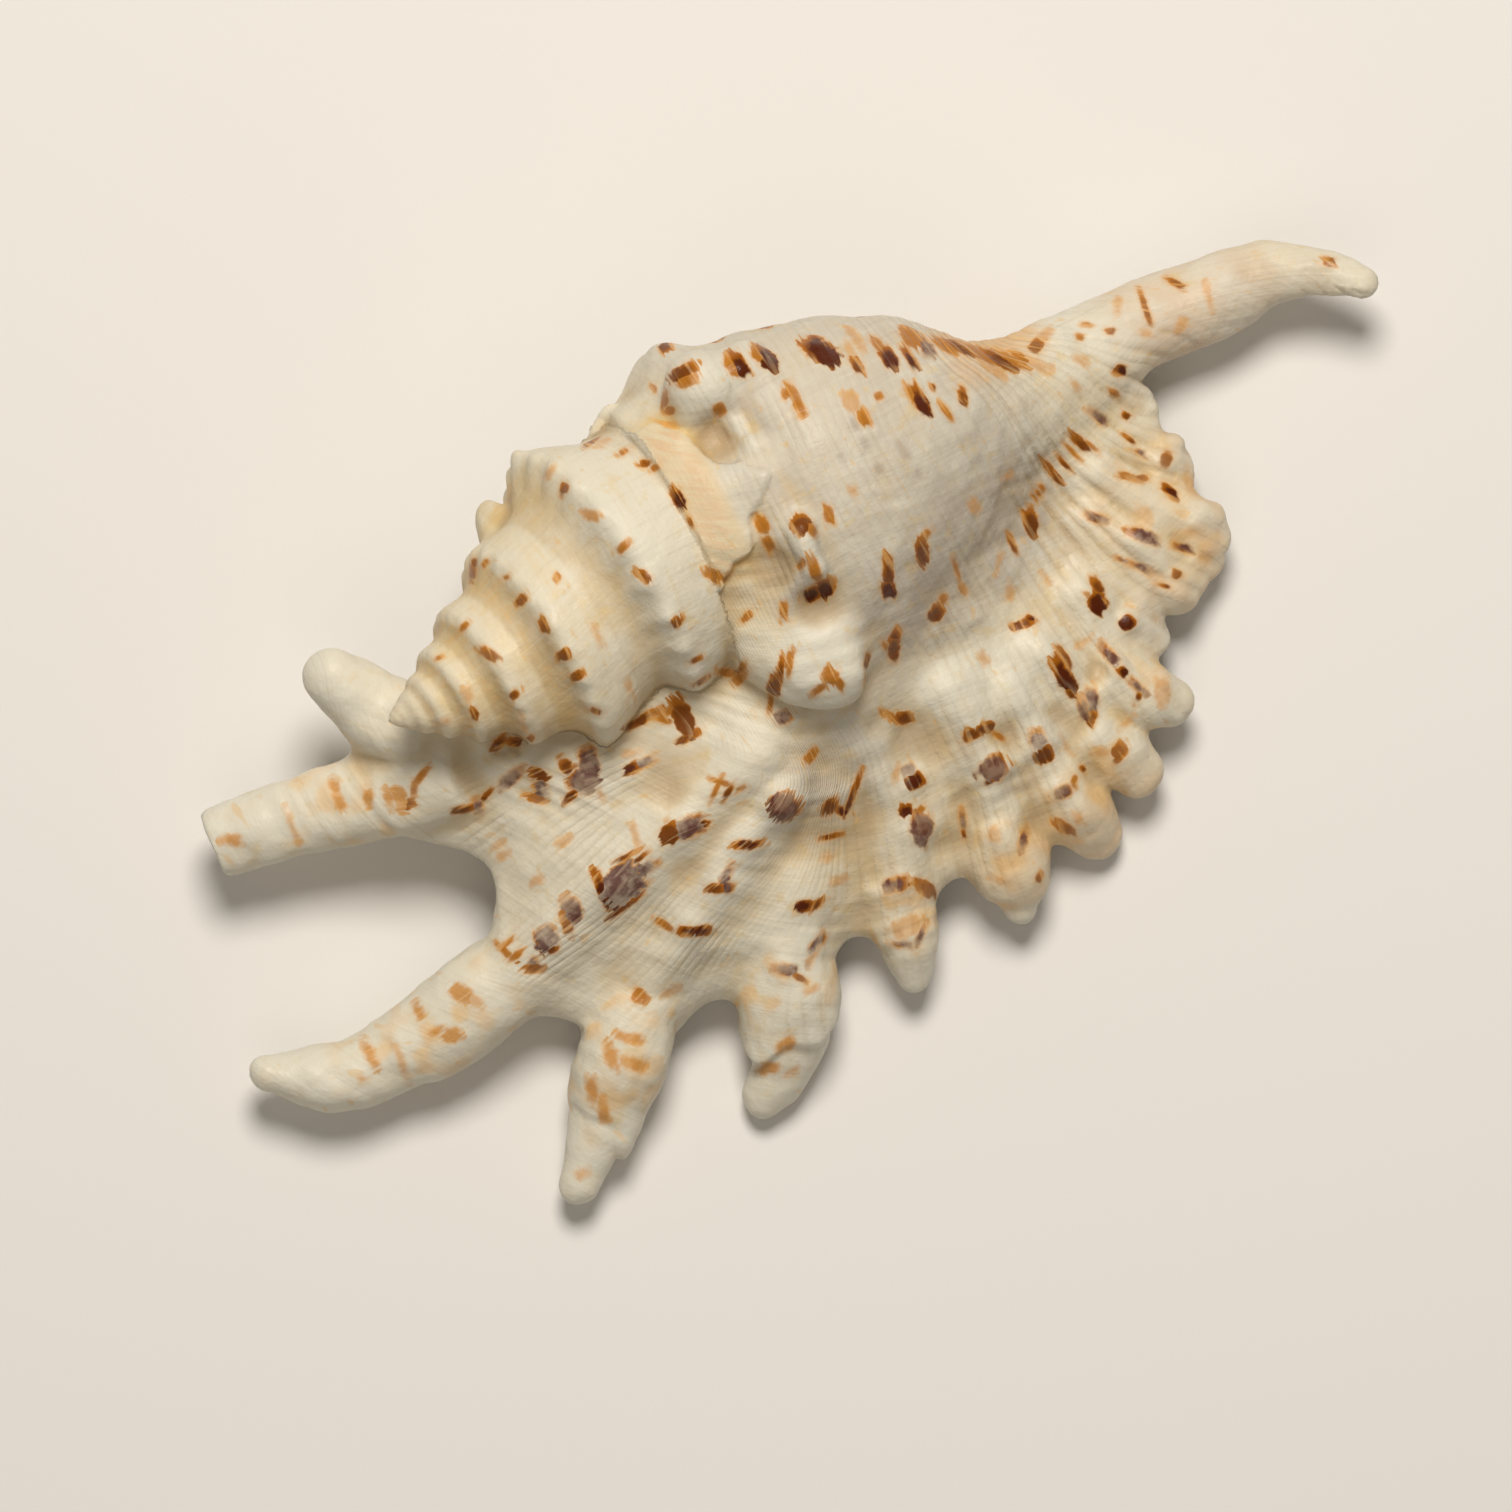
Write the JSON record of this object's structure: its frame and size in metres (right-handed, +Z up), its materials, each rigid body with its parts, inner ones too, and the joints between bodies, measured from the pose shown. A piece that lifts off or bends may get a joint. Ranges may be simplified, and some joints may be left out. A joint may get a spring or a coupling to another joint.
{
  "type": "spider conch shell",
  "caption": "Coiled sea shell with a stepped spire, a flared lip edged with finger-like digits and a long beak-like canal; a natural display object.",
  "frame": {"origin": "middle of the plan on the surface it lies on, mouth down", "axes": "+X from the spire's apex to the tip of the canal, +Y away from the lip, +Z up out of the back of the shell"},
  "size_m": [0.1438, 0.0772, 0.0374],
  "materials": {
    "shell": "hard lime shell, cream with orange-brown and purple-brown dashes, semi-gloss"
  },
  "bodies": {
    "root": {"shell": "shell"}
  },
  "joints": []
}
